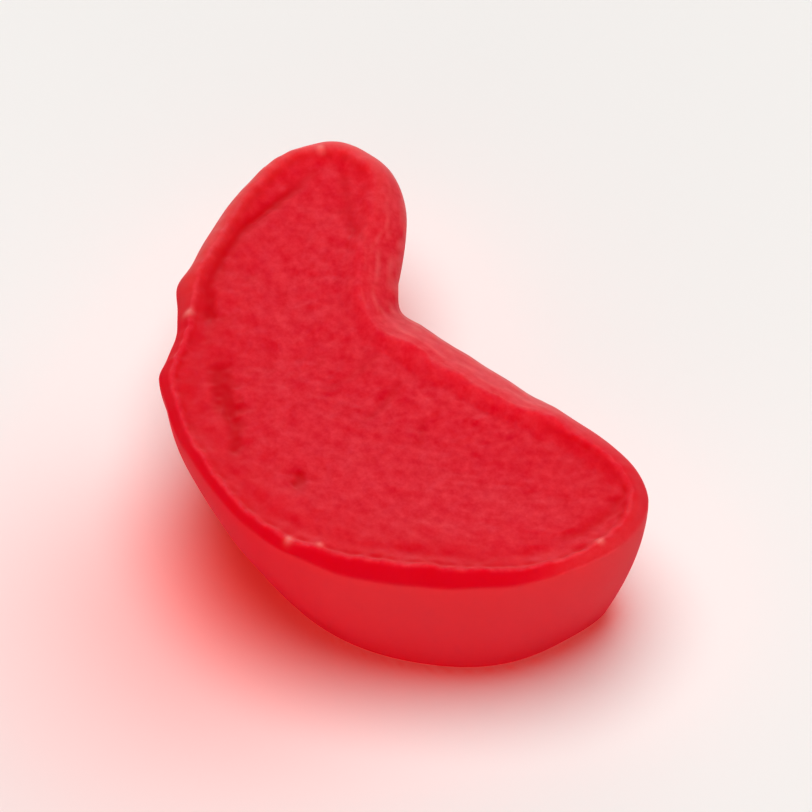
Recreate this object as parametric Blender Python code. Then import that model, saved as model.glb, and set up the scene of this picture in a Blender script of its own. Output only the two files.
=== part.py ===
"""Gummy lips: one kidney-shaped jelly sweet, cast in a starch mould and laid on its moulded face.

The moulded face underneath is smooth and flat, with a small rounded edge. The walls bulge out from it, as
far as the line where the poured jelly met the mould, where they stand nearly upright. Above that line the
poured face is open: its edge slopes up to a raised rim, narrow round the outside and wide along the notch.
A shallow hollow lies inside the rim, and wrinkles run out over it from the notch.

Metres, +Z up. The long axis lies along X, and the notch faces +Y. The origin is under the middle of the
sweet, on the surface it rests on.
"""

import math

import bmesh
import bpy
import numpy as np
from mathutils import Vector
from mathutils.geometry import delaunay_2d_cdt

MM = 0.001

# The whole sweet.
LENGTH = 38.0 * MM
DEPTH = 23.3 * MM
HEIGHT = 11.5 * MM

# The edge where the sweet is widest, in millimetres, round from the notch by the left lobe: x, y, how far
# inside it the rim's crest lies, how far over it, how far the face lies under the crest just inside, and
# how far the wall leans in down to the foot.
EDGE = (
    (-5.3, 6.2, 2.30, 1.35, 0.42, 2.00),  # the notch
    (-10.1, 9.3, 2.20, 1.35, 0.42, 2.00),
    (-15.6, 10.7, 1.50, 1.20, 0.36, 2.00),  # the left lobe
    (-19.0, 6.7, 1.00, 1.15, 0.40, 2.20),
    (-17.5, 1.2, 1.00, 1.10, 0.42, 2.60),
    (-14.2, -3.5, 1.00, 1.05, 0.40, 3.00),
    (-10.0, -7.2, 0.80, 0.80, 0.32, 3.50),
    (-5.3, -10.5, 0.60, 0.55, 0.26, 3.90),
    (0.3, -11.6, 0.50, 0.45, 0.22, 3.95),  # the middle of the outer side
    (6.0, -11.2, 0.50, 0.45, 0.18, 3.70),
    (11.1, -8.7, 0.70, 0.75, 0.16, 3.05),
    (15.0, -4.5, 0.85, 0.90, 0.14, 2.30),
    (17.9, 0.4, 0.70, 0.65, 0.16, 2.35),
    (18.9, 6.0, 0.60, 0.50, 0.24, 2.95),  # the right lobe
    (16.5, 10.9, 1.20, 0.85, 0.34, 2.40),
    (10.9, 11.4, 2.20, 1.25, 0.42, 2.20),
    (5.5, 9.5, 2.40, 1.35, 0.46, 2.20),
    (0.1, 7.5, 2.40, 1.35, 0.46, 2.10),
)
# Small bulges (+) and dents (-): the place, counted in edge points, the height and the half width.
BUMPS = (
    (-0.12, -0.30 * MM, 1.0 * MM),  # the notch's crease
    (2.55, 0.45 * MM, 1.8 * MM),  # the squarer tip of the left lobe
    (5.40, 0.45 * MM, 1.4 * MM),
    (6.10, -0.22 * MM, 1.2 * MM),
    (6.72, 0.36 * MM, 1.1 * MM),
)
INNER_BUMPS = 0.6  # the share of them that is left inside the rim

# The moulded half.
WALL_BULGE = 1.6  # 1 is a straight wall
FOOT_RADIUS = 0.6 * MM

# The poured face.
RIM_WIDTHS = (1.0 * MM, 2.3 * MM)  # a rim as narrow as the first is bevelled, the second is round
RIM_ROUNDNESS = (1.2, 2.0)  # 1 is a flat bevel
SHOULDER = 0.4 * MM  # from the crest in to where the rim's own rings end
INNER_DROP_WIDTH = 1.0 * MM
BLEND_REACH = 0.5 * MM  # the face takes its sizes from the rims near it, over this
BLEND_GROWTH = 0.6  # and over this much more for each step further in
INNER_FADE = 1.8 * MM  # the crest's unevenness dies away over this
GROOVE_PLACE = 1.2 * MM  # a fine groove follows the rim, this far inside the crest
GROOVE_WIDTH = 0.45 * MM
GROOVE_DEPTH = 0.10 * MM
HOLLOW_DEPTH = 0.22 * MM
HOLLOW_WIDTH = 4.0 * MM

# Unevenness: waves round the rim and wrinkles out from the notch.
RIM_WAVES = (7, 12, 19, 28)  # in one turn
RIM_WAVE_HEIGHT = 0.07 * MM
RIM_SWAY = 0.10  # the share by which the rim's width wanders
WRINKLES = (9, 14, 23)  # in one turn about the notch
WRINKLE_HEIGHT = 0.10 * MM
WRINKLE_START = 2.5 * MM
WRINKLE_REACH = 9.0 * MM
WRINKLE_BEND = 0.012  # in turns
WRINKLE_BEND_EVERY = 1.7 * MM
SEED = 7

# How finely the solid is divided.
SEGMENTS = 150
RIM_STEPS = 4
INNER_LINES = (0.8 * MM, 1.2 * MM, 1.7 * MM)  # lines of points inside the crest
LINE_LEEWAY = 0.2 * MM  # a point further off its line than this is left out
GRID = 1.1 * MM  # the spacing of points over the rest of the poured face
GRID_GAP = 0.65 * MM  # from the last line to the grid
WALL_STEPS = 4
FOOT_STEPS = 3
DENSE = 2400
INSIDE_ONLY = 1  # the triangulation keeps what lies inside the boundary
SAME_POINT = 1e-7


def closed_spline(points, count):
    """A smooth closed curve through the points, and each place on it counted in points."""
    number = len(points)
    wave = np.cos(2 * math.pi * np.arange(number) / number)
    cage = np.real(np.fft.ifft(np.fft.fft(points, axis=0) * (6 / (4 + 2 * wave))[:, None], axis=0))
    place = np.arange(count) / count * number
    span = place.astype(int)
    t = (place - span)[:, None]
    weights = ((1 - t) ** 3, 3 * t**3 - 6 * t**2 + 4, -3 * t**3 + 3 * t**2 + 3 * t + 1, t**3)
    curve = sum(weight * cage[(span + step - 1) % number] for step, weight in enumerate(weights))
    return curve / 6, place


def normals_of(curve):
    """Unit normals that point out of a closed curve drawn anticlockwise."""
    along = np.roll(curve, -1, axis=0) - np.roll(curve, 1, axis=0)
    along /= np.linalg.norm(along, axis=1)[:, None]
    return np.stack([along[:, 1], -along[:, 0]], axis=1)


def lengths_along(curve):
    """The length along a closed curve from its first point to each point, and its whole length."""
    steps = np.linalg.norm(np.roll(curve, -1, axis=0) - curve, axis=1)
    return np.cumsum(steps) - steps, steps.sum()


def widest_line():
    """The edge in DENSE points: the smooth curve, its normals, turns and bumps, and the sizes along it."""
    dense, place = closed_spline(np.array(EDGE) * MM, DENSE)
    curve = dense[:, :2]
    low = curve.min(axis=0)
    high = curve.max(axis=0)
    curve = (curve - (low + high) / 2) * np.array([LENGTH, DEPTH]) / (high - low)
    arc, whole = lengths_along(curve)
    bump = np.zeros(DENSE)
    for where, height, width in BUMPS:
        centre = np.interp(where % len(EDGE), place, arc)
        away = (arc - centre + whole / 2) % whole - whole / 2
        bump += height * np.exp(-((away / width) ** 2))
    # Segments are spaced by the rim's inner line as well, which is the longer one round the notch.
    normal = normals_of(curve)
    inner_arc, inner_whole = lengths_along(curve - normal * RIM_WIDTHS[1])
    return curve, normal, (arc + inner_arc) / (whole + inner_whole), bump, dense[:, 2:]


def waves(turns, cycles, phases):
    """A sum of sines round the sweet, between about -1 and 1."""
    lines = [np.sin(2 * math.pi * (turns * cycle + phase)) for cycle, phase in zip(cycles, phases)]
    return sum(lines) / math.sqrt(len(lines))


def wrinkle_relief(flat, notch, phases):
    """Ridges that fan out from the notch and die away by WRINKLE_REACH."""
    x, y = (flat - notch).T
    reach = np.hypot(x, y)
    angle = np.arctan2(y, x) / (2 * math.pi)
    bend = WRINKLE_BEND * np.sin(reach / WRINKLE_BEND_EVERY)
    fade = np.exp(-((reach / WRINKLE_REACH) ** 2)) * (1 - np.exp(-((reach / WRINKLE_START) ** 2)))
    return WRINKLE_HEIGHT * waves(angle + bend, WRINKLES, phases) * fade


def inner_drop(t, deepest):
    """How far the poured face lies under the crest of its rim, at t inside the crest."""
    drop = deepest * (1 - np.exp(-((t / INNER_DROP_WIDTH) ** 2)))
    groove = GROOVE_DEPTH * np.exp(-(((t - GROOVE_PLACE) / GROOVE_WIDTH) ** 2))
    hollow = HOLLOW_DEPTH * (1 - np.exp(-((t / HOLLOW_WIDTH) ** 2)))
    return drop + groove + hollow


class Rim:
    """The sizes of the rim at every segment round the sweet."""

    def __init__(self):
        chance = np.random.default_rng(SEED)
        sway, lift, self.wrinkles = [chance.random(len(n)) for n in (RIM_WAVES, RIM_WAVES, WRINKLES)]
        curve, normal, turns, bump, sizes = widest_line()
        pick = np.searchsorted(turns, np.arange(SEGMENTS) / SEGMENTS)
        self.curve, self.normal, self.bump = curve[pick], normal[pick], bump[pick]
        self.inset, self.rise, self.drop, self.lean = sizes[pick].T
        self.inset = self.inset * (1 + RIM_SWAY * waves(turns[pick], RIM_WAVES, sway))
        self.roundness = np.interp(self.inset, RIM_WIDTHS, RIM_ROUNDNESS)
        self.crest = HEIGHT - RIM_WAVE_HEIGHT * (1 + waves(turns[pick], RIM_WAVES, lift))

    def line(self, inset, bumpiness):
        """The edge moved inwards, with its bumps at a share of their height."""
        return self.curve + self.normal * (self.bump * bumpiness - inset)[:, None]


def gap_to_edge(rim, flat):
    """How far points of the poured face lie inside the rim's crest, and each segment's weight there."""
    gaps = np.linalg.norm(flat[:, None, :] - rim.line(0, INNER_BUMPS)[None, :, :], axis=2)
    least = gaps.min(axis=1)
    reach = BLEND_REACH + BLEND_GROWTH * np.maximum(least - RIM_WIDTHS[0], 0)
    share = np.exp((least[:, None] - gaps) / reach[:, None])
    share /= share.sum(axis=1)[:, None]
    return least - share @ rim.inset, share


def poured_height(rim, flat):
    """The height of the poured face inside the crest: rim, groove, hollow and wrinkles."""
    t, share = gap_to_edge(rim, flat)
    sag = (share @ rim.crest - HEIGHT) * np.exp(-t / INNER_FADE)
    return HEIGHT + sag - inner_drop(t, share @ rim.drop) + wrinkle_relief(flat, rim.curve[0], rim.wrinkles)


def inner_points(rim):
    """Points spread over the poured face: lines along the rim, then a triangular grid."""
    found = []
    for step, inside in enumerate(INNER_LINES):
        every = 1 + step  # each line further in has fewer points
        line = rim.line(rim.inset + inside, INNER_BUMPS)[::every]
        t, _ = gap_to_edge(rim, line)
        found.append(line[np.abs(t - inside) < LINE_LEEWAY])
    rows = np.arange(-DEPTH / 2, DEPTH / 2, GRID * math.sqrt(3) / 2)
    columns = np.arange(-LENGTH / 2, LENGTH / 2, GRID)
    x, y = np.meshgrid(columns, rows)
    x[::2] += GRID / 2
    grid = np.column_stack([x.ravel(), y.ravel()])
    polygon = rim.line(0, 0)
    ahead = np.roll(polygon, -1, axis=0)
    crosses = (polygon[:, 1] > grid[:, 1:]) != (ahead[:, 1] > grid[:, 1:])
    slope = (ahead[:, 0] - polygon[:, 0]) / (ahead[:, 1] - polygon[:, 1])
    left = grid[:, :1] < polygon[:, 0] + (grid[:, 1:] - polygon[:, 1]) * slope
    inside = (crosses & left).sum(axis=1) % 2 == 1
    t, _ = gap_to_edge(rim, grid)
    found.append(grid[inside & (t > INNER_LINES[-1] + GRID_GAP)])
    return np.vstack(found)


def poured_rings(rim):
    """Rings of the rim as (x, y, z), from its shoulder inside the crest out to the widest line."""
    shoulder = rim.line(rim.inset + SHOULDER, INNER_BUMPS)
    rings = [np.column_stack([shoulder, poured_height(rim, shoulder)])]
    for step in range(RIM_STEPS, -1, -1):
        out = step / RIM_STEPS
        height = rim.crest - rim.rise * (1 - out) ** rim.roundness
        bumps = 1 + (INNER_BUMPS - 1) * out
        rings.append(np.column_stack([rim.line(rim.inset * out, bumps), height]))
    return rings


def moulded_rings(rim):
    """Rings of the wall and the rounded foot, from just under the widest line to the flat underside.

    The wall leans in, and loses the bumps, by the power WALL_BULGE of the way down. The foot is an arc that
    goes on from it.
    """
    top = rim.crest - rim.rise
    tilt = np.arctan(WALL_BULGE * rim.lean / top)
    foot_top = FOOT_RADIUS * (1 - np.sin(tilt))
    rings = []
    for step in range(1, WALL_STEPS + 1):
        down = step / WALL_STEPS
        leant = down**WALL_BULGE
        height = top + (foot_top - top) * down
        rings.append(np.column_stack([rim.line(rim.lean * leant, 1 - leant), height]))
    for step in range(1, FOOT_STEPS + 1):
        angle = tilt + (math.pi / 2 - tilt) * step / FOOT_STEPS
        inset = rim.lean + FOOT_RADIUS * (np.cos(tilt) - np.cos(angle))
        rings.append(np.column_stack([rim.line(inset, 0), FOOT_RADIUS * (1 - np.sin(angle))]))
    return rings


def make_gummy(collection):
    """The rings joined by bands, the underside as one flat face, and the poured face triangulated."""
    rim = Rim()
    rings = poured_rings(rim) + moulded_rings(rim)
    body = bmesh.new()
    loops = [[body.verts.new(point) for point in ring] for ring in rings]
    for upper, lower in zip(loops, loops[1:]):
        for left in range(SEGMENTS):
            right = (left + 1) % SEGMENTS
            body.faces.new((upper[left], lower[left], lower[right], upper[right]))
    body.faces.new(reversed(loops[-1]))

    inner = inner_points(rim)
    flat = [Vector(point) for point in np.vstack([rings[0][:, :2], inner])]
    boundary = [(left, (left + 1) % SEGMENTS) for left in range(SEGMENTS)]
    triangles = delaunay_2d_cdt(flat, boundary, [], INSIDE_ONLY, SAME_POINT)[2]
    heights = poured_height(rim, inner)
    face_verts = loops[0] + [body.verts.new((*point, z)) for point, z in zip(inner, heights)]
    for triangle in triangles:
        body.faces.new([face_verts[corner] for corner in triangle])

    bmesh.ops.recalc_face_normals(body, faces=body.faces)
    mesh = bpy.data.meshes.new("gummy")
    body.to_mesh(mesh)
    body.free()
    mesh.shade_smooth()
    gummy = bpy.data.objects.new("gummy", mesh)
    collection.objects.link(gummy)
    return gummy


def jelly_material():
    """Translucent red gelatine jelly, lightly oiled."""
    material = bpy.data.materials.new("red gelatine jelly")
    material.use_nodes = True
    shader = material.node_tree.nodes["Principled BSDF"]
    shader.inputs["Base Color"].default_value = (0.69, 0.014, 0.025, 1.0)
    shader.inputs["Roughness"].default_value = 0.35
    shader.inputs["Metallic"].default_value = 0.0
    return material


def clear_scene():
    for thing in list(bpy.data.objects):
        bpy.data.objects.remove(thing, do_unlink=True)


def main():
    clear_scene()
    collection = bpy.data.collections.new("gummy lips")
    bpy.context.scene.collection.children.link(collection)
    gummy = make_gummy(collection)
    gummy.data.materials.append(jelly_material())


main()
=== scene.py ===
import math

import bpy
import numpy as np
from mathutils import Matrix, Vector


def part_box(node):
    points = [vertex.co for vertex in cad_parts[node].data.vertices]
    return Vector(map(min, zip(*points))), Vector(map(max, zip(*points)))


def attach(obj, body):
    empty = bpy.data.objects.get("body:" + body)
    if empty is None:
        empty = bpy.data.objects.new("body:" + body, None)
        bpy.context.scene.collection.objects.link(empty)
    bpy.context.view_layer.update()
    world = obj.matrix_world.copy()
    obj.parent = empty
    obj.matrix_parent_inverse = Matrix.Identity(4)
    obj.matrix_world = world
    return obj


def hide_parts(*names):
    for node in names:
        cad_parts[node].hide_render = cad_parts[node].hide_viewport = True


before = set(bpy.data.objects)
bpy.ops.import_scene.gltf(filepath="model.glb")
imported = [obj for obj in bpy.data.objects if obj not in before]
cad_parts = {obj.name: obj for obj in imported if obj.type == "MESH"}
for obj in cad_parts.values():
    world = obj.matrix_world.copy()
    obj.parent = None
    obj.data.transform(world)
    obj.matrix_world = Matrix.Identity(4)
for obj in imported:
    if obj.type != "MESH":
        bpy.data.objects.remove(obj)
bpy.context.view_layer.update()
mm = 0.001

# Everything a user would change on the sweet. Lengths are in millimetres.
sweet = {
    # The edge, anticlockwise from the notch: x, y, how far inside it the rim's crest lies, how far over it,
    # how far the face lies under the crest just inside, how far the wall leans in down to the foot, how
    # round the rim is (1 is a flat bevel), how clear its bevel is and how much painted shade deepens its
    # red, and how much painted reflection of the table pales the wall.
    "stations": [
        (-5.3, 6.2, 2.50, 1.35, 0.42, 2.00, 1.4, 0.0, 0.4),
        (-10.1, 9.3, 2.20, 1.35, 0.42, 2.00, 1.5, 0.0, 0.4),
        (-15.6, 10.7, 1.50, 1.20, 0.36, 2.00, 1.8, 0.2, 0.3),
        (-19.0, 6.7, 1.00, 1.15, 0.40, 2.20, 2.1, 0.4, 0.2),
        (-17.5, 1.2, 1.00, 1.10, 0.42, 2.60, 2.1, 0.5, 0.1),
        (-14.2, -3.5, 1.00, 1.05, 0.40, 3.00, 1.9, 0.7, 0.0),
        (-10.0, -7.2, 0.80, 0.80, 0.32, 3.50, 1.4, 1.0, 0.0),
        (-5.3, -10.5, 0.60, 0.55, 0.26, 3.90, 1.2, 1.0, 0.0),
        (0.3, -11.6, 0.50, 0.45, 0.22, 3.95, 1.2, 1.0, 0.0),
        (6.0, -11.2, 0.50, 0.45, 0.18, 3.70, 1.2, 1.0, 0.0),
        (11.1, -8.7, 0.70, 0.75, 0.16, 3.05, 1.2, 1.0, 0.8),
        (15.0, -4.5, 0.85, 0.90, 0.14, 2.30, 1.2, 1.0, 1.0),
        (17.9, 0.4, 0.70, 0.65, 0.16, 2.35, 1.3, 0.9, 1.0),
        (18.9, 6.0, 0.60, 0.50, 0.24, 2.95, 1.6, 0.4, 1.0),
        (16.5, 10.9, 1.00, 0.80, 0.34, 2.40, 1.5, 0.7, 0.7),
        (10.9, 11.4, 1.40, 1.05, 0.40, 2.20, 1.4, 0.6, 0.4),
        (5.5, 9.5, 2.05, 1.35, 0.46, 2.20, 1.4, 0.1, 0.4),
        (0.1, 7.5, 2.70, 1.35, 0.46, 2.10, 1.3, 0.0, 0.4),
    ],
    # Small bulges and dents of the edge: place counted in stations, height, half width.
    "bumps": [
        (-0.12, -0.30, 1.0),
        (2.55, 0.45, 1.8),
        (5.40, 0.45, 1.4),
        (6.10, -0.22, 1.2),
        (6.72, 0.36, 1.1),
    ],
    "innerBumps": 0.6,  # the share of them that is left inside the rim
    # The wall, the foot, and the hollow underneath, which is full from this share of the way in.
    "wallBulge": 1.6,
    "wallUneven": 0.03,
    "wallWaves": (5, 9, 16, 31),
    "footRadius": 0.6,
    "underHollow": 0.08,
    "hollowFull": 0.5,
    "topGap": 0.02,  # how far the crest stays under the top of the box
    # A rim as narrow as the first width drops sharply inside, one as wide as the second softly. Rows
    # follow the rim over the shoulder, and from there they shrink to the middle.
    "rimWidths": (1.0, 2.3),
    "dropWidths": (0.50, 0.85),
    "shoulder": 1.1,
    # A soft groove inside the crest, and the hollow of the whole face.
    "grooveInside": 1.2,
    "grooveWidth": 0.40,
    "grooveDepth": 0.08,
    "hollowDepth": 0.32,
    "hollowWidth": 4.0,
    # A point on the face takes the sizes of the rims within this reach, which grows with the way in.
    "blendReach": 0.5,
    "blendGrowth": 0.6,
    # Waves in one turn: slow ones sway the rim, quick ones scallop its crest, and the peaks of the crumbs'
    # waves over a floor stand up as crumbs. The shares are what is left of them on a wide rim.
    "slowWaves": (7, 12, 19, 28),
    "quickWaves": (41, 53, 67, 83, 101),
    "sway": 0.08,
    "crestWave": 0.07,
    "slowReach": 2.2,
    "quickReach": 0.35,
    "scallop": 0.05,
    "wideScallop": 0.3,
    "crestRipple": 0.016,
    "crumbWaves": (71, 89, 127, 163, 181),
    "crumbFloor": 0.3,
    "crumbHeight": 0.05,
    "wideCrumbs": 0.2,
    # A broken line pressed in beside the crest: how far inside it lies, its half width and its depth.
    # Then how much of it and of the groove is there on average, how far that swings, and how much of the
    # line a wide rim loses.
    "crestLine": (0.38, 0.16, 0.07),
    "patchy": (0.6, 0.4, 0.8),
    # The streaks of a wide rim: their spacing, how far they bend, and how they come and go.
    "streakSpacing": 0.55,
    "streakHeight": 0.030,
    "streakBend": 0.15,
    "streakBreaks": (5, 7),
    "streakStart": 0.4,
    # Wrinkles fan out from the notch. Their bend is its size in turns, and the length of its wave.
    "wrinkleWaves": (9, 14, 23, 37),
    "wrinkleHeight": 0.028,
    "wrinkleStart": 2.5,
    "wrinkleReach": 9.0,
    "wrinkleBend": (0.012, 1.7),
    # Swellings of the poured face: shortest and longest wave, how many, height.
    "swellings": [(3.0, 8.0, 14, 0.024), (1.0, 2.2, 30, 0.011), (0.5, 0.9, 40, 0.005)],
    # Marks left as the face set: the points of a line, its half width, and its height or depth.
    "marks": [
        ([(-6.0, -6.2), (-4.6, -7.0), (-3.0, -7.5), (-1.6, -7.6)], 0.75, -0.17),
        ([(-2.6, -7.9), (-1.0, -8.0), (0.3, -8.6), (1.0, -9.3)], 0.45, -0.14),
        ([(-8.3, -7.0), (-6.3, -8.4), (-4.3, -9.4), (-0.3, -10.3)], 0.90, 0.08),
        ([(3.9, -6.3), (4.7, -6.7), (4.8, -7.4)], 0.50, -0.14),
        ([(-9.5, -5.0)], 0.55, -0.13),
        ([(-9.1, -5.0), (-11.6, -3.9), (-13.3, -2.0), (-14.8, 0.4), (-15.3, 2.5), (-16.4, 6.2)], 0.36, -0.15),
        ([(-15.8, 8.0), (-13.9, 7.2), (-11.7, 6.3), (-9.6, 6.1)], 0.35, -0.07),
        ([(16.6, 4.4), (16.8, 6.2), (16.3, 8.4), (15.3, 9.8)], 0.45, -0.08),
        ([(17.9, 4.6), (18.2, 5.6)], 0.30, -0.10),
        ([(8.9, 8.5), (10.3, 9.3), (12.0, 9.9)], 0.25, -0.08),
        ([(10.1, -8.7), (11.1, -8.0)], 0.25, -0.06),
        ([(-1.8, 2.6), (-1.2, 0.6), (-1.0, -1.6)], 0.30, -0.04),
        ([(0.6, 2.9), (1.8, 0.9), (2.4, -1.0)], 0.30, -0.05),
        ([(2.6, 3.6), (4.4, 2.0), (6.0, 0.9)], 0.30, -0.04),
        ([(5.3, 4.6), (6.1, 5.2)], 0.45, 0.06),
        ([(2.7, 3.2), (4.3, 2.6)], 0.50, 0.05),
    ],
    # How much their width wavers, and the shortest and longest wave and the number of waves in that.
    "markWaver": 0.25,
    "markWaves": (0.8, 2.5, 12),
    # How fast a mark fades in from the line's ends, and what is left of it there.
    "markFade": (4, 0.3),
    # The marks end this far outside the crest, and fade over the second length. Likewise the relief.
    "markEdge": (0.7, 0.5),
    "reliefEdge": (0.2, 1.0),
    # Small nubs with a painted highlight in their colour: x, y, half width, height.
    "nubs": [
        (-17.6, 7.5, 0.30, 0.14),
        (-10.1, -6.1, 0.28, 0.12),
        (18.2, 6.5, 0.26, 0.14),
        (8.6, -9.7, 0.24, 0.10),
        (9.9, -8.3, 0.20, 0.07),
    ],
    # How pale the painted highlights on the nubs, the round part of the rim and the streaks are, and the
    # painted reflection on the wall.
    "palestNub": 0.5,
    "palestRim": 0.16,
    "palestWall": 0.055,
    "palestStreak": 0.18,
    # The painted highlight on the round part lies this far outside the crest, with this half width. It is
    # painted from the first roundness on, and fully so from the second.
    "roundPlace": (0.4, 0.6),
    "roundFrom": (1.4, 2.0),
    "footReflection": 0.3,  # the share of the painted reflection on the wall that is left at the foot
    # How much painted shade deepens the red in the line just inside the crest, on a narrow rim's bevel, in
    # the marks, and in a wide band inside the rim. The line's place is a share of the drop's width, and its
    # half width a share of its place.
    "lineShade": 0.85,
    "linePlace": 0.8,
    "lineWidth": 0.6,
    "bevelShade": 0.55,
    "bevelEdge": 0.22,
    "markShade": 1.0,
    "deepestMark": 0.13,
    "nearShade": 0.50,
    "nearWidth": 3.5,
    "nearStart": 0.5,
    # The circle that the sweet bends along, which the inner rows shrink towards.
    "spineRadius": 17.0,
    "spineCentre": (-2.5, 13.5),
    # Rows and columns of points. Both powers crowd the rows towards the crest.
    "densePoints": 4800,
    "columns": 600,
    "faceRows": 62,
    "shoulderRows": 12,
    "rimRows": 12,
    "wallRows": 40,
    "footRows": 8,
    "underRows": 12,
    "rimPower": 1.5,
    "shoulderPower": 1.3,
    "seed": 11,
}


def smoothStep(t):
    t = np.clip(t, 0, 1)
    return t * t * (3 - 2 * t)


def closedSpline(points, count):
    # cubic B-spline whose cage is solved so that the closed curve runs through every point
    number = len(points)
    wave = np.cos(2 * math.pi * np.arange(number) / number)
    cage = np.real(np.fft.ifft(np.fft.fft(points, axis=0) * (6 / (4 + 2 * wave))[:, None], axis=0))
    place = np.arange(count) / count * number
    span = place.astype(int)
    t = (place - span)[:, None]
    weights = ((1 - t) ** 3, 3 * t**3 - 6 * t**2 + 4, -3 * t**3 + 3 * t**2 + 3 * t + 1, t**3)
    curve = sum(weight * cage[(span + step - 1) % number] for step, weight in enumerate(weights))
    return curve / 6, place


def arcLengths(curve):
    steps = np.linalg.norm(np.roll(curve, -1, axis=0) - curve, axis=1)
    return np.cumsum(steps) - steps, steps.sum()


def outwardNormals(curve):
    along = np.roll(curve, -1, axis=0) - np.roll(curve, 1, axis=0)
    along /= np.linalg.norm(along, axis=1)[:, None]
    return np.stack([along[:, 1], -along[:, 0]], axis=1)


def ripple(turns, cycles, chance):
    # sum of sines round the edge, each with a random phase, between about -1 and 1
    return sum(np.sin(2 * math.pi * (turns * n + chance.random())) for n in cycles) / math.sqrt(len(cycles))


def swell(x, y, shortest, longest, count, chance):
    # sum of plane waves with random headings and wavelengths between shortest and longest
    total = np.zeros_like(x)
    for _ in range(count):
        heading = chance.random() * 2 * math.pi
        wavelength = shortest * (longest / shortest) ** chance.random()
        phase = chance.random() * 2 * math.pi
        total += np.sin((x * math.cos(heading) + y * math.sin(heading)) * 2 * math.pi / wavelength + phase)
    return total / math.sqrt(count / 2)


def edgeLine(values):
    # The widest line round the sweet in the frame's box, with its sizes, at equal steps of its own
    # length and of its inner line's length together.
    dense, place = closedSpline(np.array(values["stations"]), values["densePoints"])
    low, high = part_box("gummy")
    size = np.array([high.x - low.x, high.y - low.y]) / mm
    line = dense[:, :2]
    line = (line - (line.min(axis=0) + line.max(axis=0)) / 2) * size / np.ptp(line, axis=0)
    arc, whole = arcLengths(line)
    bump = np.zeros(len(line))
    for where, height, width in values["bumps"]:
        centre = np.interp(where % len(values["stations"]), place, arc)
        away = (arc - centre + whole / 2) % whole - whole / 2
        bump += height * np.exp(-((away / width) ** 2))
    normal = outwardNormals(line)
    innerArc, innerWhole = arcLengths(line - normal * values["rimWidths"][1])
    turns = (arc + innerArc) / (whole + innerWhole)
    pick = np.searchsorted(turns, np.arange(values["columns"]) / values["columns"])
    names = ("inset", "rise", "drop", "lean", "roundness", "shadeAndClearBevel", "paintedWallReflection")
    rim = {"line": line, "normal": normal, "bump": bump, "turns": turns, **dict(zip(names, dense[:, 2:].T))}
    return {name: array[pick] for name, array in rim.items()}


def unbend(values, points):
    # bends the crescent's spine circle straight: angle along it becomes a length, radius a height
    radius = values["spineRadius"]
    x, y = (points - values["spineCentre"]).T
    return np.column_stack([radius * np.arctan2(x, -y), radius - np.hypot(x, y)])


def bendBack(values, points):
    radius = values["spineRadius"]
    angle = points[..., 0] / radius
    reach = radius - points[..., 1]
    back = np.stack([reach * np.sin(angle), -reach * np.cos(angle)], axis=-1)
    return back + values["spineCentre"]


def partly(share, least):
    # a share from 0 to 1 that starts from a least value instead
    return least + (1 - least) * share


def rimSizes(values, chance):
    # The edge with its unevenness: slow waves sway the crest, quick ones scallop it.
    rim = edgeLine(values)
    turns = rim["turns"]
    rim["inset"] = rim["inset"] * (1 + values["sway"] * ripple(turns, values["slowWaves"], chance))
    narrow = smoothStep((values["rimWidths"][1] - rim["inset"]) / np.ptp(values["rimWidths"]))
    scallop = values["scallop"] * partly(narrow, values["wideScallop"])
    rim["scallop"] = scallop * ripple(turns, values["quickWaves"], chance)
    rim["slow"] = -values["crestWave"] * (1 + ripple(turns, values["slowWaves"], chance))
    rim["quick"] = values["crestRipple"] * ripple(turns, values["quickWaves"], chance)
    crumbs = np.maximum(ripple(turns, values["crumbWaves"], chance) - values["crumbFloor"], 0)
    rim["quick"] += values["crumbHeight"] * crumbs * partly(narrow, values["wideCrumbs"])
    rim["wide"] = 1 - narrow
    rim["dropWidth"] = np.interp(rim["inset"], values["rimWidths"], values["dropWidths"])
    average, swing, loss = values["patchy"]
    patchy = np.clip(average + swing * ripple(turns, values["quickWaves"], chance), 0, 1)
    rim["patchy"] = patchy * (1 - loss * rim["wide"])
    grooved = average + swing * ripple(turns, values["slowWaves"], chance)
    rim["grooved"] = values["grooveDepth"] * grooved
    return rim


def inwards(rim, inset, bumpiness):
    # the edge moved inwards along its normals, with its bumps at a share of their height
    return rim["line"] + rim["normal"] * (rim["bump"] * bumpiness - inset)[:, None]


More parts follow.
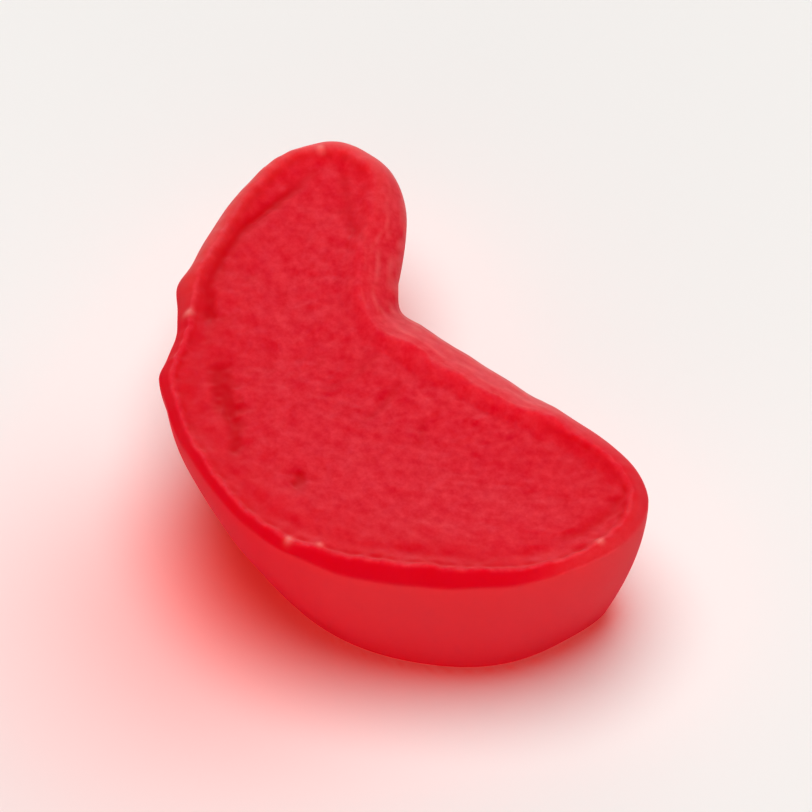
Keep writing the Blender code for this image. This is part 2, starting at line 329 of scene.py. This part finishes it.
def pouredFace(values, rim, chance):
    # Rows from the edge up over the rim and in to the middle of the poured face. Over the rim the height
    # is the crest less a power of the way out. Inside, at t from the crest, it is the crest less a drop
    # of 1 - exp(-t^2), a groove of exp(-t^2) and a hollow, each with the sizes of the rims near by.
    columns = values["columns"]
    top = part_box("gummy")[1].z / mm - values["topGap"]
    crest = top + rim["slow"]
    flats = []
    insides = []
    heights = []
    for step in range(values["rimRows"] + 1):
        share = 1 - (1 - step / values["rimRows"]) ** values["rimPower"]
        bumps = 1 + (values["innerBumps"] - 1) * share
        flats.append(inwards(rim, (rim["inset"] + rim["scallop"]) * share, bumps))
        outside = rim["inset"] * (1 - share)
        insides.append(-outside)
        quick = rim["quick"] * np.exp(-((outside / values["quickReach"]) ** 2))
        heights.append(crest + quick - rim["rise"] * (1 - share) ** rim["roundness"])
    onRim = len(flats)
    for step in range(1, values["shoulderRows"] + 1):
        t = values["shoulder"] * (step / values["shoulderRows"]) ** values["shoulderPower"]
        scallop = rim["scallop"] * (1 - smoothStep(t / values["shoulder"]))
        flats.append(inwards(rim, rim["inset"] + t + scallop, values["innerBumps"]))
        insides.append(np.full(columns, t))
    onShoulder = len(flats)
    straight = unbend(values, flats[-1])
    for step in range(1, values["faceRows"] + 1):
        flats.append(bendBack(values, straight * (1 - step / (values["faceRows"] + 1))))

    crestLine = inwards(rim, 0, values["innerBumps"])
    for row in range(onRim, len(flats)):
        gaps = np.linalg.norm(flats[row][:, None, :] - crestLine[None, :, :], axis=2)
        least = gaps.min(axis=1)
        reach = values["blendReach"] + values["blendGrowth"] * np.maximum(least - values["rimWidths"][0], 0)
        weight = np.exp((least[:, None] - gaps) / reach[:, None])
        weight /= weight.sum(axis=1)[:, None]
        mixed = np.ones(columns)
        t = least - weight @ rim["inset"]
        if row < onShoulder:
            mixed = smoothStep(insides[row] / values["shoulder"])
            t = insides[row] + (t - insides[row]) * mixed
            insides[row] = t
        else:
            insides.append(t)
        names = ("drop", "dropWidth", "grooved", "slow")
        drop, dropWidth, grooved, slow = [rim[n] + (weight @ rim[n] - rim[n]) * mixed for n in names]
        fall = drop * (1 - np.exp(-((t / dropWidth) ** 2)))
        groove = grooved * np.exp(-(((t - values["grooveInside"]) / values["grooveWidth"]) ** 2))
        hollow = values["hollowDepth"] * (1 - np.exp(-((t / values["hollowWidth"]) ** 2)))
        sag = slow * np.exp(-((t / values["slowReach"]) ** 2))
        quick = rim["quick"] * np.exp(-((t / values["quickReach"]) ** 2))
        heights.append(top + sag + quick - fall - groove - hollow)

    flat = np.array(flats)
    inside = np.array(insides)
    edge, fade = values["markEdge"]
    marks = faceMarks(values, flat[..., 0], flat[..., 1], chance) * smoothStep((inside + edge) / fade)
    streaks = rimStreaks(values, rim, inside, chance)
    z = np.array(heights) + faceRelief(values, rim, flat, inside, chance)
    z += marks + values["streakHeight"] * streaks
    return np.dstack([flat, z]), {"inside": inside, "marks": marks, "streaks": streaks}


def mouldedBody(values, rim, top, chance):
    # Rows from the edge down the wall, round the foot and in under the sweet. The wall leans in by a power
    # of the way down, and the foot is an arc that goes on from it.
    tilt = np.arctan(values["wallBulge"] * rim["lean"] / top)
    radius = values["footRadius"]
    footTop = radius * (1 - np.sin(tilt))
    uneven = values["wallUneven"] * ripple(rim["turns"], values["wallWaves"], chance)
    rows = []
    for step in range(1, values["wallRows"] + 1):
        down = step / values["wallRows"]
        leant = down ** values["wallBulge"]
        inset = rim["lean"] * leant + uneven * math.sin(math.pi * down)
        rows.append(np.column_stack([inwards(rim, inset, 1 - leant), top + (footTop - top) * down]))
    for step in range(1, values["footRows"] + 1):
        angle = tilt + (math.pi / 2 - tilt) * step / values["footRows"]
        inset = rim["lean"] + radius * (np.cos(tilt) - np.cos(angle))
        rows.append(np.column_stack([inwards(rim, inset, 0), radius * (1 - np.sin(angle))]))
    straight = unbend(values, rows[-1][:, :2])
    for step in range(1, values["underRows"] + 1):
        share = 1 - step / (values["underRows"] + 1)
        level = np.full(len(straight), values["underHollow"] * smoothStep((1 - share) / values["hollowFull"]))
        rows.append(np.column_stack([bendBack(values, straight * share), level]))
    return np.array(rows)


def sweetSurface(values):
    # Rows of points from the middle of the poured face to the middle of the underside. Each row runs once
    # round the sweet.
    chance = np.random.default_rng(values["seed"])
    rim = rimSizes(values, chance)
    poured, layers = pouredFace(values, rim, chance)
    moulded = mouldedBody(values, rim, poured[0, :, 2], chance)
    # Skin is 1 where the jelly set in the air, and 0 on the wall and on the bevel of a narrow rim, which
    # are clear. Painted highlights pale the nubs, the streaks and the round part of the rim, and a painted
    # reflection pales the wall towards its top. Painted shade deepens the red in the line just inside the
    # crest, on the bevel, in the marks and in a wide band inside the rim.
    inside = layers["inside"]
    shadeAndClearBevel = np.clip(rim["shadeAndClearBevel"], 0, 1)
    skin = np.maximum(smoothStep(1 + inside / values["bevelEdge"]), 1 - shadeAndClearBevel)
    x, y = poured[..., 0], poured[..., 1]
    start, full = values["roundFrom"]
    place, width = values["roundPlace"]
    rounded = np.clip((rim["roundness"] - start) / (full - start), 0, 1)
    # painted highlights: the round part of the rim, the streaks and the nubs are paler
    paintedHighlight = values["palestRim"] * rounded * np.exp(-(((inside + place) / width) ** 2))
    paintedHighlight = np.maximum(paintedHighlight, values["palestStreak"] * np.maximum(layers["streaks"], 0))
    for nubX, nubY, width, _ in values["nubs"]:
        near = np.exp(-(((x - nubX) ** 2 + (y - nubY) ** 2) / width**2))
        paintedHighlight = np.maximum(paintedHighlight, values["palestNub"] * near)
    line = rim["dropWidth"] * values["linePlace"]
    fade = np.exp(-(((inside - line) / (line * values["lineWidth"])) ** 2))
    # painted shade: a deeper red in the line inside the crest, on the bevel, in the marks and inside the rim
    paintedShade = values["lineShade"] * rim["patchy"] * fade
    paintedShade = np.maximum(paintedShade, values["bevelShade"] * shadeAndClearBevel * (1 - skin))
    paintedShade = np.maximum(paintedShade, values["markShade"] * np.clip(-layers["marks"] / values["deepestMark"], 0, 1))
    near = np.exp(-((inside / values["nearWidth"]) ** 2)) * smoothStep(inside / values["nearStart"])
    paintedShade += (1 - paintedShade) * values["nearShade"] * shadeAndClearBevel * near
    up = np.clip(moulded[..., 2] / poured[0, :, 2], 0, 1)
    none = np.zeros_like(up)
    # painted reflection: the wall is paler towards its top, and less so at the foot
    paintedWallReflection = values["palestWall"] * np.clip(rim["paintedWallReflection"], 0, 1) * partly(up, values["footReflection"])
    layers = {"skin": (skin, none), "paintedHighlight": (paintedHighlight, paintedWallReflection), "paintedShade": (paintedShade, none)}
    rows = np.concatenate([poured[::-1], moulded])
    return rows, {label: np.concatenate([top[::-1], wall]) for label, (top, wall) in layers.items()}


def alongLine(x, y, points):
    # distance to the nearest of the straight stretches between the points, and the share of the line there
    least = np.full(x.shape, np.inf)
    place = np.zeros_like(x)
    for number, ((startX, startY), (endX, endY)) in enumerate(zip(points, points[1:])):
        alongX, alongY = endX - startX, endY - startY
        share = np.clip(((x - startX) * alongX + (y - startY) * alongY) / (alongX**2 + alongY**2), 0, 1)
        away = np.hypot(x - startX - share * alongX, y - startY - share * alongY)
        place = np.where(away < least, (number + share) / (len(points) - 1), place)
        least = np.minimum(least, away)
    return least, place


def faceMarks(values, x, y, chance):
    # Sum of marks, each a height times exp(-d^2) at d half widths from its line, wavering, and faded at
    # the line's ends. A single point is a round mark.
    total = np.zeros_like(x)
    speed, least = values["markFade"]
    waver = 1 + values["markWaver"] * np.tanh(swell(x, y, *values["markWaves"], chance))
    for points, width, height in values["marks"]:
        if len(points) == 1:
            away, fade = np.hypot(x - points[0][0], y - points[0][1]), 1
        else:
            away, place = alongLine(x, y, points)
            fade = smoothStep(speed * np.minimum(place, 1 - place) + least)
        total += height * fade * np.exp(-((away / (width * waver)) ** 2))
    for nubX, nubY, width, height in values["nubs"]:
        total += height * np.exp(-(((x - nubX) ** 2 + (y - nubY) ** 2) / width**2))
    return total


def faceRelief(values, rim, flat, inside, chance):
    # Sum of wrinkles, random swellings, and a broken line inside the crest. Wrinkles are sines of the
    # heading from the notch.
    x, y = flat[..., 0], flat[..., 1]
    edge, fade = values["reliefEdge"]
    onFace = smoothStep((inside + edge) / fade)
    fromNotch = flat - rim["line"][0]
    reach = np.hypot(fromNotch[..., 0], fromNotch[..., 1])
    bend, bendLength = values["wrinkleBend"]
    heading = np.arctan2(fromNotch[..., 1], fromNotch[..., 0]) / (2 * math.pi)
    heading += bend * np.sin(reach / bendLength)
    fade = np.exp(-((reach / values["wrinkleReach"]) ** 2))
    fade *= 1 - np.exp(-((reach / values["wrinkleStart"]) ** 2))
    relief = values["wrinkleHeight"] * fade * ripple(heading, values["wrinkleWaves"], chance)
    for shortest, longest, count, height in values["swellings"]:
        relief += height * swell(x, y, shortest, longest, count, chance)
    relief *= onFace
    place, width, depth = values["crestLine"]
    return relief - depth * rim["patchy"] * np.exp(-(((inside - place) / width) ** 2))


def rimStreaks(values, rim, inside, chance):
    # streaks along the outer slope of the wide rim, from -1 to 1: a sine of the way out that bends to and
    # fro, times a slower one that breaks them up
    bend = values["streakBend"] * ripple(rim["turns"], values["slowWaves"], chance)
    across, along = values["streakBreaks"]
    streak = np.sin(2 * math.pi * (inside / values["streakSpacing"] + bend))
    streak *= np.sin(across * inside + along * bend)
    return streak * rim["wide"] * smoothStep(-inside / values["streakStart"])


def ringPiece(name, rows, attributes, material, closed):
    # an object of rings of points joined by quads, with a fan of triangles in the first ring, and in the
    # last one too where it is closed
    number, columns = rows.shape[:2]
    ends = [0, -1] if closed else [0]
    points = np.concatenate([rows.reshape(-1, 3), [rows[end].mean(axis=0) for end in ends]]) * mm
    ring = np.arange(number - 1)[:, None] * columns
    left = np.arange(columns)
    right = (left + 1) % columns
    quads = np.stack([ring + left, ring + columns + left, ring + columns + right, ring + right], axis=-1)
    faces = quads.reshape(-1, 4).tolist()
    faces += np.column_stack([np.full(columns, number * columns), left, right]).tolist()
    if closed:
        last = (number - 1) * columns
        faces += np.column_stack([np.full(columns, number * columns + 1), last + right, last + left]).tolist()
    mesh = bpy.data.meshes.new(name)
    mesh.from_pydata(points.tolist(), [], faces)
    for label, value in attributes.items():
        perPoint = np.concatenate([value.ravel(), [value[end].mean() for end in ends]])
        mesh.attributes.new(label, "FLOAT", "POINT").data.foreach_set("value", perPoint.astype(np.float32))
    mesh.shade_smooth()
    mesh.update()
    mesh.materials.append(material)
    piece = bpy.data.objects.new(name, mesh)
    bpy.context.scene.collection.objects.link(piece)
    return piece


def linear(hexColour):
    # sRGB hex to linear RGBA
    parts = [int(hexColour[i : i + 2], 16) / 255 for i in (1, 3, 5)]
    return [c / 12.92 if c <= 0.04045 else ((c + 0.055) / 1.055) ** 2.4 for c in parts] + [1.0]


def addNode(tree, kind, links=(), values=None, **settings):
    # one node with its settings, its input values, and its links as (input, node, output)
    node = tree.nodes.new(kind)
    for name, value in settings.items():
        setattr(node, name, value)
    for name, value in (values or {}).items():
        node.inputs[name].default_value = value
    for name, source, output in links:
        tree.links.new(source.outputs[output], node.inputs[name])
    return node


jelly = {
    "lightRed": "#E3303F",
    "deepRed": "#D60020",
    "wallRed": "#DA001E",
    # the colour of the painted highlights and reflection, then of the painted shade
    "paintedHighlight": "#FF968E",
    "paintedShadeRed": "#CC0014",
    "ior": 1.40,
    "specular": 0.31,
    "pouredRoughness": 0.36,
    "mouldedRoughness": 0.74,
    "subsurfaceRadius": (1.0, 0.16, 0.12),
    "subsurfaceScale": 0.009,  # metres
    "mottleSize": 0.85,  # millimetres, like its height
    "mottleHeight": 0.012,
    "mottleDetail": 3.0,
    "mottleRoughness": 0.7,
    "mottleRange": (0.32, 0.70),
}


def jellyMaterial(values):
    # gelatine jelly with a film of glazing oil: translucent, satin, finely mottled where it set in the air,
    # with painted highlights, a painted reflection and painted shade in its colour
    material = bpy.data.materials.new("red gelatine jelly")
    material.use_nodes = True
    tree = material.node_tree
    shader = tree.nodes["Principled BSDF"]
    where = addNode(tree, "ShaderNodeTexCoord")
    mottle = addNode(
        tree,
        "ShaderNodeTexNoise",
        [("Vector", where, "Object")],
        {
            "Scale": 1 / (values["mottleSize"] * mm),
            "Detail": values["mottleDetail"],
            "Roughness": values["mottleRoughness"],
        },
    )
    bump = addNode(
        tree,
        "ShaderNodeBump",
        [("Height", mottle, "Fac")],
        {"Strength": 1.0, "Distance": values["mottleHeight"] * mm},
    )
    tree.links.new(bump.outputs["Normal"], shader.inputs["Normal"])
    skin = addNode(tree, "ShaderNodeAttribute", attribute_name="skin")
    paintedHighlight = addNode(tree, "ShaderNodeAttribute", attribute_name="paintedHighlight")
    paintedShade = addNode(tree, "ShaderNodeAttribute", attribute_name="paintedShade")
    low, high = values["mottleRange"]
    patches = addNode(
        tree,
        "ShaderNodeMapRange",
        [("Value", mottle, "Fac")],
        {"From Min": low, "From Max": high},
    )
    top = addNode(tree, "ShaderNodeMix", [("Factor", patches, "Result")], data_type="RGBA")
    top.inputs[6].default_value = linear(values["deepRed"])
    top.inputs[7].default_value = linear(values["lightRed"])
    colour = addNode(tree, "ShaderNodeMix", [("Factor", skin, "Fac"), (7, top, 2)], data_type="RGBA")
    colour.inputs[6].default_value = linear(values["wallRed"])
    # painted shade deepens the red, and painted highlights and a painted reflection pale it
    for share, name in ((paintedShade, "paintedShadeRed"), (paintedHighlight, "paintedHighlight")):
        colour = addNode(tree, "ShaderNodeMix", [("Factor", share, "Fac"), (6, colour, 2)], data_type="RGBA")
        colour.inputs[7].default_value = linear(values[name])
    tree.links.new(colour.outputs[2], shader.inputs["Base Color"])
    roughness = addNode(tree, "ShaderNodeMix", [("Factor", skin, "Fac")], data_type="FLOAT")
    roughness.inputs["A"].default_value = values["mouldedRoughness"]
    roughness.inputs["B"].default_value = values["pouredRoughness"]
    tree.links.new(roughness.outputs["Result"], shader.inputs["Roughness"])
    shader.inputs["IOR"].default_value = values["ior"]
    shader.inputs["Specular IOR Level"].default_value = values["specular"]
    shader.inputs["Subsurface Weight"].default_value = 1.0
    shader.inputs["Subsurface Radius"].default_value = values["subsurfaceRadius"]
    shader.inputs["Subsurface Scale"].default_value = values["subsurfaceScale"]
    return material


def makeGummy():
    rows, attributes = sweetSurface(sweet)
    piece = ringPiece("gummySkin", rows, attributes, jellyMaterial(jelly), closed=True)
    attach(piece, "root")
    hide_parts("gummy")


table = {
    "radius": 2.0,  # metres
    # Rings of points, a step in millimetres apart up to the fine radius, and growing outside it.
    "fineRadius": 40.0,
    "ringStep": 0.5,
    "outerRings": 24,
    "columns": 256,
    "below": 0.03,  # millimetres under the sweet
    "colour": "#F6F3F0",
    "roughness": 0.6,
    "specular": 0.2,
    # The painted glow, the sweet's red light and shadow painted onto the table: its reaches in millimetres,
    # how much it tints the colour, how much it shines as emission, how far it leans.
    "paintedGlow": "#FF3F38",
    "footEvery": 4,  # one in so many of the foot's points counts
    "nearReach": 0.8,
    "nearTint": 0.7,
    "wideReach": 5.0,
    "wideLight": 0.27,
    "leanTint": 0.95,
    "leanSpread": 1.5,
    "leanBearing": -50.0,  # degrees, from the camera's side
}


def makeTable(values):
    # White table top: rings round the middle that grow outwards. The sweet's red glow and shadow are painted
    # on it as a tint and an emission, which die away with exp(-distance from the foot / reach), and lean to
    # one side.
    fine, step = values["fineRadius"], values["ringStep"]
    steps = np.arange(1, values["outerRings"] + 1) / values["outerRings"]
    outer = fine * (values["radius"] / mm / fine) ** steps
    reach = np.concatenate([np.arange(step, fine, step), outer])
    angle = np.arange(values["columns"]) / values["columns"] * 2 * math.pi
    x = reach[:, None] * np.cos(angle)
    y = reach[:, None] * np.sin(angle)
    rim = edgeLine(sweet)
    foot = inwards(rim, rim["lean"], 0)[:: values["footEvery"]]
    gap = np.hypot(x[..., None] - foot[:, 0], y[..., None] - foot[:, 1]).min(axis=-1)
    bearing = np.arctan2(y, x) - math.radians(studio["azimuth"] - 90 + values["leanBearing"])
    lean = np.maximum(np.cos(bearing), 0) ** 2
    gap /= 1 + values["leanSpread"] * lean
    # painted glow and shadow: a red tint of the colour and a red emission near the foot
    wide = np.exp(-gap / values["wideReach"])
    paintedGlowTint = values["nearTint"] * np.exp(-gap / values["nearReach"])
    paintedGlowTint += (1 - paintedGlowTint) * values["leanTint"] * lean * wide
    paintedGlow = {"paintedGlowTint": paintedGlowTint, "light": values["wideLight"] * wide}
    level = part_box("gummy")[0].z / mm - values["below"]
    rings = np.dstack([x, y, np.full_like(x, level)])
    piece = ringPiece("table", rings, paintedGlow, tableMaterial(values), closed=False)


def tableMaterial(values):
    # white acrylic sheet, satin, with the sweet's red glow and shadow painted into its colour and emission
    material = bpy.data.materials.new("white acrylic sheet")
    material.use_nodes = True
    tree = material.node_tree
    shader = tree.nodes["Principled BSDF"]
    # the painted glow: the tint paints red light and shade into the colour, and light makes it shine
    paintedGlowTint = addNode(tree, "ShaderNodeAttribute", attribute_name="paintedGlowTint")
    light = addNode(tree, "ShaderNodeAttribute", attribute_name="light")
    colour = addNode(tree, "ShaderNodeMix", [("Factor", paintedGlowTint, "Fac")], data_type="RGBA")
    colour.inputs[6].default_value = linear(values["colour"])
    colour.inputs[7].default_value = linear(values["paintedGlow"])
    tree.links.new(colour.outputs[2], shader.inputs["Base Color"])
    tree.links.new(light.outputs["Fac"], shader.inputs["Emission Strength"])
    shader.inputs["Emission Color"].default_value = linear(values["paintedGlow"])
    shader.inputs["Roughness"].default_value = values["roughness"]
    shader.inputs["Specular IOR Level"].default_value = values["specular"]
    return material


studio = {
    "azimuth": 60.0,
    "elevation": 50.0,
    "distance": 0.9,
    "clip": (0.05, 10.0),
    # Millimetres: the width of the picture at the sweet, and where the camera looks.
    "view": 49.6,
    "lookRight": 2.98,
    "lookDown": 0.66,
    "edgeHeight": 10.3,
    # The room's brightness by the sine of the height, by side, from behind the camera (0) to the far one,
    # and by how far it lies to the left or right.
    "roomByHeight": [(0.0, 1.0), (0.62, 0.9), (0.72, 0.5), (0.84, 0.10), (1.0, 0.05)],
    "roomBySide": [(0.0, 0.08), (0.35, 0.12), (0.5, 0.8), (0.6, 1.0), (1.0, 1.0)],
    "roomByTurn": [(0.0, 1.0), (0.18, 0.95), (0.38, 0.5), (0.65, 0.2), (1.0, 0.15)],
    "softbox": {"size": 1.1, "distance": 1.3, "lean": 0.1, "power": 16.2},
    "lowPanel": {"width": 1.4, "height": 0.25, "distance": 1.0, "lift": 0.16, "power": 4.0},
}


def aim(thing, place, target):
    thing.location = place
    thing.rotation_euler = (Vector(target) - Vector(place)).to_track_quat("-Z", "Y").to_euler()


def makeCamera(values):
    azimuth = math.radians(values["azimuth"])
    elevation = math.radians(values["elevation"])
    away = np.array([-math.sin(azimuth), math.cos(azimuth), 0.0])
    right = np.array([math.cos(azimuth), math.sin(azimuth), 0.0])
    up = away * math.sin(elevation) + np.array([0.0, 0.0, math.cos(elevation)])
    back = np.array([0.0, 0.0, math.sin(elevation)]) - away * math.cos(elevation)
    target = right * values["lookRight"] - up * values["lookDown"]
    target[2] += values["edgeHeight"]
    data = bpy.data.cameras.new("camera")
    data.lens = data.sensor_width * values["distance"] / (values["view"] * mm)
    data.clip_start, data.clip_end = values["clip"]
    camera = bpy.data.objects.new("camera", data)
    aim(camera, target * mm + back * values["distance"], target * mm)
    bpy.context.scene.collection.objects.link(camera)
    bpy.context.scene.camera = camera


def areaLight(name, shape, width, height, power, place, target):
    # an area light that neither the camera nor what mirrors sees
    data = bpy.data.lights.new(name, "AREA")
    data.shape = shape
    data.size = width
    data.size_y = height
    data.energy = power
    light = bpy.data.objects.new(name, data)
    aim(light, place, target)
    light.visible_camera = False
    light.visible_glossy = False
    bpy.context.scene.collection.objects.link(light)


def makeLights(values):
    # a large softbox overhead, and a low panel on the camera's side that fills in the walls
    azimuth = math.radians(values["azimuth"])
    away = Vector((-math.sin(azimuth), math.cos(azimuth), 0))
    box = values["softbox"]
    place = away * box["lean"] + Vector((0, 0, box["distance"]))
    areaLight("softbox", "DISK", box["size"], box["size"], box["power"], place, (0, 0, 0))
    panel = values["lowPanel"]
    target = Vector((0, 0, panel["lift"]))
    place = away * -panel["distance"] + target
    areaLight("low panel", "RECTANGLE", panel["width"], panel["height"], panel["power"], place, target)


def makeWorld(values):
    # A room that is bright low down on the far side, and dark overhead, at the sides and behind the
    # camera: the product of three ramps.
    world = bpy.data.worlds.new("studio")
    world.use_nodes = True
    tree = world.node_tree
    where = addNode(tree, "ShaderNodeTexCoord")
    azimuth = math.radians(values["azimuth"])
    dots = []
    for direction in (
        (-math.sin(azimuth) / 2, math.cos(azimuth) / 2, 0.0),
        (math.cos(azimuth), math.sin(azimuth), 0.0),
    ):
        links = [(0, where, "Generated")]
        dots.append(addNode(tree, "ShaderNodeVectorMath", links, {1: direction}, operation="DOT_PRODUCT"))
    side = addNode(tree, "ShaderNodeMath", [(0, dots[0], "Value")], {1: 0.5}, operation="ADD")
    turn = addNode(tree, "ShaderNodeMath", [(0, dots[1], "Value")], operation="ABSOLUTE")
    height = addNode(tree, "ShaderNodeSeparateXYZ", [("Vector", where, "Generated")])
    ramps = []
    sources = ((height, "Z", "roomByHeight"), (side, "Value", "roomBySide"), (turn, "Value", "roomByTurn"))
    for source, output, stops in sources:
        ramp = addNode(tree, "ShaderNodeValToRGB", [("Fac", source, output)])
        ramp.color_ramp.elements.remove(ramp.color_ramp.elements[1])
        for index, (place, level) in enumerate(values[stops]):
            stop = ramp.color_ramp.elements[0] if index == 0 else ramp.color_ramp.elements.new(place)
            stop.position = place
            stop.color = (level, level, level, 1)
        ramps.append(ramp)
    level = ramps[0]
    for ramp in ramps[1:]:
        level = addNode(
            tree,
            "ShaderNodeMath",
            [(0, level, level.outputs[0].name), (1, ramp, "Color")],
            operation="MULTIPLY",
        )
    tree.links.new(level.outputs["Value"], tree.nodes["Background"].inputs["Color"])
    bpy.context.scene.world = world


print("making the sweet")
makeGummy()
print("making the table")
makeTable(table)
print("setting the studio")
makeCamera(studio)
makeWorld(studio)
makeLights(studio)
bpy.context.scene.view_settings.view_transform = "Standard"

print("done")
